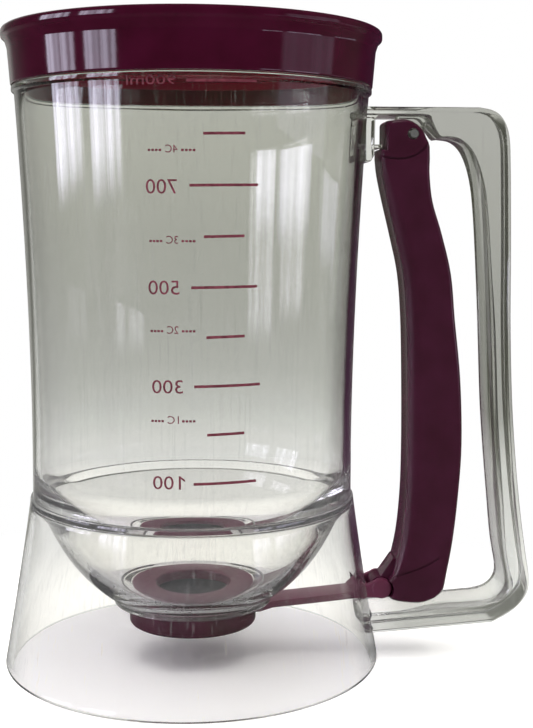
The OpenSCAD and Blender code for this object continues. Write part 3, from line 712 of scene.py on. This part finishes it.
arm = lathe("pull_arm_shutter", rounded([(0.02, 14.1, 0), (13.2, 14.1, 0.4),
                                         (13.2, 16.1, 0.3), (12.82, 16.1, 0.1),
                                         (12.82, 15.6, 0.1), (0.02, 15.6, 0)]), 96)
combine(arm, plate("arm_bar", arm_ring, 11, 0.5), "UNION")
pad_room = lathe("pad_room", [(0.01, 15.62), (12.8, 15.62), (12.8, 18), (0.01, 18)], 96)
combine(arm, pad_room, "DIFFERENCE")
neck = block([(51.7, 18.4, 0), (57.5, 18.1, 0), (57.5, 23.9, 0), (51.7, 21.5, 0)])
for side in (-1, 1):
    combine(arm, bar("cheek", LINK_X, LINK_Z, 3.1, 2.2, side * CHEEK_Y, edge=0.5), "UNION")
    combine(arm, plate("neck", neck, 2.0, 0.3, side * (CHEEK_Y - 0.02)), "UNION")
    combine(arm, bar("stud", LINK_X, LINK_Z, 1.5, 2.8, side * 2.9, edge=0.2), "UNION")
bridge = block([(49.2, 18.05, 0.2), (53.0, 18.4, 0.2), (53.0, 22.7, 0.5), (49.2, 20.1, 0.4)])
combine(arm, plate("bridge", bridge, 12.5, 0.4), "UNION")
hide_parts("pull_arm")
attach(arm, "shutter")
arm.data.materials.append(valve_pp)


# ------------------------------------------------------------------ trigger
# Burgundy lever of channel section, open toward the handle and stiffened by cross ribs.
# Its head holds the steel pin, and its lower end takes the pull arm's fork.

TRIGGER_ROWS = [
    (25, 61.4, 78.2), (36, 63.9, 80.1), (50, 65.2, 81.6), (66, 65.5, 82.5),
    (86, 65.3, 81.8), (104, 64.8, 79.9), (118, 63.6, 78.5), (130, 61.0, 75.6),
    (140, 58.6, 72.6), (148, 56.9, 71.6), (153, 56.3, 71.6),
]
TRIGGER_W, TRIGGER_EDGE = 16.0, 3.0
TRIGGER_WALL, TRIGGER_WEB = 1.8, 2.6
RIBS, RIB_LOW, RIB_STEP, RIB_THICK = 5, 36, 20.8, 1.4
front_line = curve_through([(row[1], row[0]) for row in TRIGGER_ROWS])
back_line = curve_through([(row[2], row[0]) for row in TRIGGER_ROWS])


def trigger_outline(inset):
    """Closed outline of the trigger in X and Z, smaller by inset. Its long front edge is
    rounded most, because the fingers pull on it; head, foot and back stay crisper."""
    i = inset * 0.4

    def front(z):
        return i + inset * 0.85 * max(0, min(1, (z - 24) / 18, (154 - z) / 16))

    return (
        [(60.8 + i, 17.8 + i * 0.5), (58 + i, 21.5), (59.4 + i, 23)]
        + [(x + front(z), z) for x, z in front_line]
        + [(56.3 + i, 155.6 - i * 0.5), (56.6 + i, 155.9 - i * 0.5), (57.8 + i, 155.9 - i * 0.5),
           (57.8 + i, 163.4 - i), (58.0 + i, 163.9 - i), (58.6 + i, 164.4 - i),
           (61, 164.85 - i), (63.2, 165 - i),
           (64.6, 164.85 - i), (66, 164.4 - i), (67.5 - i * 0.3, 163.5 - i * 0.8),
           (68.8 - i * 0.5, 162.3 - i * 0.6), (69.8 - i * 0.8, 160.9 - i * 0.3),
           (70.4 - i, 159.4), (71.1 - i, 158.1), (71.5 - i, 156.6)]
        + [(x - i, z) for x, z in reversed(back_line)]
        + [(77.9 - i, 23), (77.5 - i, 21.1), (76.5 - i, 19.5 + i * 0.4),
           (74.9 - i * 0.6, 18.2 + i * 0.6), (72.6, 17.1 + i), (71, 16.6 + i),
           (69.4, 16.4 + i), (67.3, 16.45 + i), (65, 16.7 + i), (62.6, 17.1 + i)]
    )


def line_at(line, z):
    """Distance of the front or back line from the axis at a height."""
    for (xa, za), (xb, zb) in zip(line, line[1:]):
        if za <= z <= zb:
            return xa + (xb - xa) * (z - za) / (zb - za)
    return line[-1][0]


def channel_ring(inset):
    """Closed outline of the hollow between the side walls, open toward the handle."""
    i = inset
    inner = [(x + TRIGGER_WEB + i, z) for x, z in front_line if z > 28]
    return ([(70.2, 21 + i), (66.4 + i, 24)] + inner
            + [(59.8 + i, 158), (59.8 + i, 170), (92, 170), (92, 21 + i)])


def crease(points, wide):
    """Outline of a narrow band along points in X and Z, for a shallow groove."""
    line = [Vector(p) for p in curve_through(points, 6)]
    sides = ([], [])
    for k, here in enumerate(line):
        along = (line[min(k + 1, len(line) - 1)] - line[max(k - 1, 0)]).normalized()
        across = Vector((-along.y, along.x)) * wide / 2
        sides[0].append(tuple(here + across))
        sides[1].append(tuple(here - across))
    return lambda inset: sides[0] + sides[1][::-1]


HEAD_CREASE = [(53.5, 154.9), (57.9, 153.4), (62.4, 153.0), (66.3, 153.9), (69.0, 155.7),
               (70.8, 158.1), (71.6, 160.4)]
FOOT_CREASE = [(61.0, 24.9), (67.8, 27.1), (71.7, 28.6), (75.5, 30.9)]

trigger = plate("trigger_lever", trigger_outline, TRIGGER_W, TRIGGER_EDGE, steps=7)
combine(trigger, plate("channel", channel_ring, TRIGGER_W - 2 * TRIGGER_WALL, 0.8),
        "DIFFERENCE")
for k in range(RIBS):
    z = RIB_LOW + k * RIB_STEP
    start, end = line_at(front_line, z) + 1.4, line_at(back_line, z) - 3.5
    rib = block([(start, z, 0), (end, z, 0.3), (end, z + RIB_THICK, 0.3),
                 (start, z + RIB_THICK, 0)])
    combine(trigger, plate("rib", rib, TRIGGER_W - TRIGGER_WALL, 0.1), "UNION")
tongue = block([(58.1, 17.6, 0), (70, 18, 0), (70, 30, 0), (62, 30, 0), (58.1, 24.4, 0)])
combine(trigger, plate("tongue", tongue, 8, 0.2), "UNION")
combine(trigger, bar("tongue_round", LINK_X, LINK_Z, 3.4, 8, edge=0.3), "UNION")
fork_room = block([(46.1, 17.4, 0), (LINK_X, 17.4, 0), (LINK_X, 24.6, 0), (46.1, 24.6, 0)])
for side in (-1, 1):
    combine(trigger, bar("cheek_room", LINK_X, LINK_Z, 3.6, 10, side * 9.0), "DIFFERENCE")
    combine(trigger, plate("room", fork_room, 10, 0.1, side * 9.0), "DIFFERENCE")
for side in (-1, 1):
    face_y = side * (TRIGGER_W / 2 + 0.05)
    combine(trigger, plate("head_crease", crease(HEAD_CREASE, 0.55), 1.0, 0.1, face_y),
            "DIFFERENCE")
    combine(trigger, plate("foot_crease", crease(FOOT_CREASE, 0.5), 0.8, 0.1, face_y),
            "DIFFERENCE")
    combine(trigger, bar("pin_seat", 66.05, 160.45, 1.7, 4.4, side * 7.3), "DIFFERENCE")
combine(trigger, bar("pin_hole", PIN_X, PIN_Z, 1.4, 22), "DIFFERENCE")
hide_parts("trigger")
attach(trigger, "trigger")
# The trigger's skin is between gloss and satin, from the fingers.
trigger_pp = burgundy_plastic("burgundy_pp_trigger", ("3a0f23", "44152d"), 0.24)
trigger.data.materials.append(trigger_pp)
flatten_sides(trigger, 0)


# ------------------------------------------------------------------ pin and spring
# Stainless pivot pin with a small centre mark in each end, and the return spring that is
# wound round it from 0.6 mm wire.

# Drawn stainless steel: bright, with fine marks along the wire.
steel, steel_out = new_material("drawn_stainless")
steel_place = add(steel, "ShaderNodeTexCoord")
marks = add(steel, "ShaderNodeTexNoise", {"Scale": 1 / (0.4 * MM), "Detail": 2.0},
            {"Vector": steel_place.outputs["Object"]})
wear = add(steel, "ShaderNodeMapRange", {"To Min": 0.42, "To Max": 0.62},
           {"Value": marks.outputs["Fac"]})
steel_shader = add(steel, "ShaderNodeBsdfPrincipled",
                   {"Base Color": colour("e4e5de"), "Metallic": 1.0},
                   {"Roughness": wear.outputs[0]})
finish_material(steel, steel_out, steel_shader)
for name in ("pivot_pin", "return_spring"):
    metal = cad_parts[name]
    metal.data.materials.clear()
    metal.data.materials.append(steel)


# ------------------------------------------------------------------ floor and light
# A plain pale floor and a white surround. Tall softboxes with net-curtain folds stand in
# for windows, to the left of the jug and on its right. What the jug mirrors is a room:
# bright on the left, with a dark curtain behind on the right and dim behind the viewer.

FLOOR_HALF = 6
floor_data = bpy.data.meshes.new("floor")
floor_data.from_pydata([(x * FLOOR_HALF, y * FLOOR_HALF, 0)
                        for x, y in ((-1, -1), (1, -1), (1, 1), (-1, 1))], [], [(0, 1, 2, 3)])
floor = bpy.data.objects.new("floor", floor_data)
floor.location.z = -0.4 * MM
scene.collection.objects.link(floor)

# Each room colour stands at a bearing in degrees, from straight behind the jug: first the
# room that outer surfaces mirror, then the room that the clear walls turn into view.
MIRRORED = ((-178, "3c3c3a"), (-60, "3c3c3c"), (-36, "70706e"), (-28, "b0b0ac"),
            (-16, "b0b0ac"), (-12, "45463a"), (-4, "45463a"), (6, "3e2838"), (50, "3e2838"),
            (62, "54554c"), (85, "5c5d54"), (112, "44443e"), (178, "3c3c3a"))
TURNED = ((-178, "5a5a58"), (-130, "7a7a78"), (-100, "a4a4a4"), (-70, "dadada"),
          (-36, "dededc"), (-29, "55564a"), (-6, "55564a"), (1, "dededa"), (6, "dededa"),
          (13, "3e2838"), (50, "3e2838"), (62, "6a6b62"), (85, "8e8f84"), (112, "6a6a64"),
          (150, "6a6957"), (168, "77755f"), (178, "5a5a56"))


def room_tone(owner, direction, inside):
    """Colour of the room in a direction, mirrored or, where inside is 1, turned."""
    parts = add(owner, "ShaderNodeSeparateXYZ", links={"Vector": direction})
    bearing = add(owner, "ShaderNodeMath", {"operation": "ARCTAN2"},
                  {0: parts.outputs["X"], 1: parts.outputs["Y"]})
    around = add(owner, "ShaderNodeMapRange", {"From Min": -math.pi, "From Max": math.pi},
                 {"Value": bearing.outputs[0]})
    tones = []
    for marks in (MIRRORED, TURNED):
        walls = add(owner, "ShaderNodeValToRGB", links={"Fac": around.outputs[0]})
        fill_ramp(walls, marks, -180, 180)
        tones.append(walls.outputs[0])
    choice = add(owner, "ShaderNodeMix", {"data_type": "RGBA"},
                 {0: inside, 6: tones[0], 7: tones[1]})
    return choice.outputs[2]


paper, paper_out = new_material("white_paper_sweep")
paper_path = add(paper, "ShaderNodeLightPath")
paper_place = add(paper, "ShaderNodeTexCoord")
paper_reach = add(paper, "ShaderNodeVectorMath", {"operation": "LENGTH"},
                  {0: paper_place.outputs["Object"]})
paper_far = add(paper, "ShaderNodeMapRange",
                {"interpolation_type": "SMOOTHSTEP", "From Min": 45 * MM,
                 "From Max": 170 * MM},
                {"Value": paper_reach.outputs["Value"]})
paper_near = add(paper, "ShaderNodeMix", {"data_type": "RGBA"},
                 {0: paper_path.outputs["Is Transmission Ray"]})
paper_near.inputs[6].default_value = (0.1, 0.1, 0.1, 1)
paper_near.inputs[7].default_value = (0.88, 0.88, 0.86, 1)
paper_cast = add(paper, "ShaderNodeMix", {"data_type": "RGBA"},
                 {0: paper_far.outputs[0], 6: paper_near.outputs[2],
                  7: room_tone(paper, paper_place.outputs["Object"],
                               paper_path.outputs["Is Transmission Ray"])})
paper_dim = add(paper, "ShaderNodeBsdfDiffuse", links={"Color": paper_cast.outputs[2]})
paper_white = add(paper, "ShaderNodeBsdfDiffuse", {"Color": (0.92, 0.92, 0.92, 1)})
paper_bright = add(paper, "ShaderNodeBsdfDiffuse", {"Color": (1.4, 1.38, 1.33, 1)})
paper_horizon = add(paper, "ShaderNodeEmission", {"Strength": 1.0})
paper_view = add(paper, "ShaderNodeMixShader",
                 links={0: paper_far.outputs[0], 1: paper_bright.outputs[0],
                        2: paper_horizon.outputs[0]})
paper_seen = add(paper, "ShaderNodeMath", {"operation": "MAXIMUM"},
                 {0: paper_path.outputs["Is Camera Ray"],
                  1: paper_path.outputs["Is Transmission Ray"]})
paper_first = add(paper, "ShaderNodeMath", {"operation": "LESS_THAN", 1: 0.5},
                  {0: paper_path.outputs["Diffuse Depth"]})
paper_shown = add(paper, "ShaderNodeMath", {"operation": "MULTIPLY"},
                  {0: paper_seen.outputs[0], 1: paper_first.outputs[0]})
paper_plain = add(paper, "ShaderNodeMixShader",
                  links={0: paper_shown.outputs[0], 1: paper_white.outputs[0],
                         2: paper_view.outputs[0]})
paper_turned = add(paper, "ShaderNodeMath", {"operation": "GREATER_THAN", 1: 0.5},
                   {0: paper_path.outputs["Glossy Depth"]})
paper_all = add(paper, "ShaderNodeMixShader",
                links={0: paper_turned.outputs[0], 1: paper_plain.outputs[0],
                       2: paper_dim.outputs[0]})
finish_material(paper, paper_out, paper_all)
floor_data.materials.append(paper)

world = bpy.data.worlds.new("surround")
world.use_nodes = True
world.node_tree.nodes.clear()
scene.world = world
world_out = add(world, "ShaderNodeOutputWorld")
path = add(world, "ShaderNodeLightPath")
toward = add(world, "ShaderNodeTexCoord")
tall = add(world, "ShaderNodeSeparateXYZ", links={"Vector": toward.outputs["Generated"]})
sky = add(world, "ShaderNodeMapRange",
          {"interpolation_type": "SMOOTHSTEP", "To Min": 0.08, "To Max": 1.4},
          {"Value": tall.outputs["Z"]})
even = add(world, "ShaderNodeBackground", {"Color": (1, 1, 1, 1)},
           {"Strength": sky.outputs[0]})
white = add(world, "ShaderNodeBackground", {"Color": (1, 1, 1, 1), "Strength": 1.0})
room = add(world, "ShaderNodeBackground", {"Strength": 1.0},
           {"Color": room_tone(world, toward.outputs["Generated"],
                               path.outputs["Is Transmission Ray"])})
seen = add(world, "ShaderNodeMath", {"operation": "MAXIMUM"},
           {0: path.outputs["Is Camera Ray"], 1: path.outputs["Is Transmission Ray"]})
plain = add(world, "ShaderNodeMixShader",
            links={0: seen.outputs[0], 1: even.outputs[0], 2: white.outputs[0]})
bounced = add(world, "ShaderNodeMath", {"operation": "GREATER_THAN", 1: 0.5},
              {0: path.outputs["Glossy Depth"]})
turned = add(world, "ShaderNodeMath", {"operation": "MULTIPLY"},
             {0: bounced.outputs[0], 1: path.outputs["Is Glossy Ray"]})
both = add(world, "ShaderNodeMixShader",
           links={0: turned.outputs[0], 1: plain.outputs[0], 2: room.outputs[0]})
# The clear jug lets lamp light straight through, so what the floor would gather through it
# a second time is left out.
scattered = add(world, "ShaderNodeMath", {"operation": "GREATER_THAN", 1: 0.5},
                {0: path.outputs["Diffuse Depth"]})
stray = add(world, "ShaderNodeMath", {"operation": "MULTIPLY"},
            {0: scattered.outputs[0], 1: path.outputs["Is Glossy Ray"]})
surround = add(world, "ShaderNodeMixShader", links={0: stray.outputs[0], 1: both.outputs[0]})
world.node_tree.links.new(surround.outputs[0], world_out.inputs["Surface"])


def softbox(name, place, target, size, radiance, tone="ffffff", fade=0.0, folds=0.0):
    """Rectangular lamp at place that faces target, sizes in metres. Its lower part may fade
    out, and folds draws the soft upright stripes of a net curtain on it."""
    lamp = bpy.data.lights.new(name, "AREA")
    lamp.shape = "RECTANGLE"
    lamp.size, lamp.size_y = size
    lamp.energy = radiance * math.pi * size[0] * size[1]
    lamp.color = colour(tone)[:3]
    lamp.use_nodes = True
    lamp.node_tree.nodes.clear()
    lamp_out = add(lamp, "ShaderNodeOutputLight")
    sheet = add(lamp, "ShaderNodeNewGeometry")
    split = add(lamp, "ShaderNodeSeparateXYZ", links={"Vector": sheet.outputs["Parametric"]})
    rise = add(lamp, "ShaderNodeMapRange",
               {"interpolation_type": "SMOOTHSTEP", "From Min": 0.0, "From Max": max(fade, 1e-4)},
               {"Value": split.outputs["Y"]})
    edge = add(lamp, "ShaderNodeMath", {"operation": "PINGPONG", 1: 0.5},
               {0: split.outputs["X"]})
    hem = add(lamp, "ShaderNodeMapRange",
              {"interpolation_type": "SMOOTHSTEP", "From Min": 0.0,
               "From Max": 0.1 if folds else 1e-4}, {"Value": edge.outputs[0]})
    stripes = add(lamp, "ShaderNodeTexNoise",
                  {"noise_dimensions": "1D", "Scale": 7.0, "Detail": 2.0},
                  {"W": split.outputs["X"]})
    drape = add(lamp, "ShaderNodeMapRange",
                {"From Min": 0.38, "From Max": 0.6, "To Min": 1 - folds, "To Max": 1.0},
                {"Value": stripes.outputs["Fac"]})
    share = add(lamp, "ShaderNodeMath", {"operation": "MULTIPLY"},
                {0: rise.outputs[0], 1: hem.outputs[0]})
    strength = add(lamp, "ShaderNodeMath", {"operation": "MULTIPLY"},
                   {0: share.outputs[0], 1: drape.outputs[0]})
    glow = add(lamp, "ShaderNodeEmission", links={"Strength": strength.outputs[0]})
    lamp.node_tree.links.new(glow.outputs[0], lamp_out.inputs["Surface"])
    obj = bpy.data.objects.new(name, lamp)
    obj.location = place
    obj.rotation_euler = (Vector(target) - Vector(place)).to_track_quat("-Z", "Y").to_euler()
    obj.visible_camera = False
    scene.collection.objects.link(obj)
    return obj


def window(name, bearing, wide, low, high, distance, radiance, fade, folds, tilt):
    """Softbox that stands upright round the jug, its bearing in degrees from the front. It
    shows in gloss only, and the even surround and the overhead lamp light the scene."""
    turn = math.radians(bearing)
    middle = (low + high) / 2
    spot = (distance * math.sin(turn), -distance * math.cos(turn), middle)
    width = distance * math.radians(wide)
    lamp = softbox(name, spot, (0, 0, middle), (width, high - low), radiance, "ece8ff", fade,
                   folds)
    lamp.rotation_euler.rotate_axis("Z", math.radians(tilt))
    lamp.visible_diffuse = False


overhead = softbox("overhead", (0.0, -0.2, 1.6), (0, 0, 0), (1.0, 1.0), 3.2)
overhead.visible_glossy = False
# Name, bearing and width in degrees, lower and upper edge and distance in metres, radiance,
# share that fades out, depth of the folds, tilt in degrees.
for row in (
        ("window_left", -85.5, 25, 0.03, 0.6, 1.5, 9, 0.14, 0.7, 0),
        ("window_left_front", -56, 23, 0.0, 0.6, 1.5, 9, 0.14, 0.7, 0),
        ("window_right", 69, 27, 0.015, 0.108, 1.0, 5, 0.7, 0.5, 3),
        ("window_right_front", 47, 14, 0.015, 0.092, 1.0, 5, 0.7, 0.5, 2),
        ("window_right_upper", 73, 44, 0.112, 0.4, 1.0, 0.7, 0.0, 0.3, 0),
        ("window_right_back", 104, 24, 0.015, 0.108, 1.0, 1.6, 0.5, 0.4, 0)):
    window(*row)
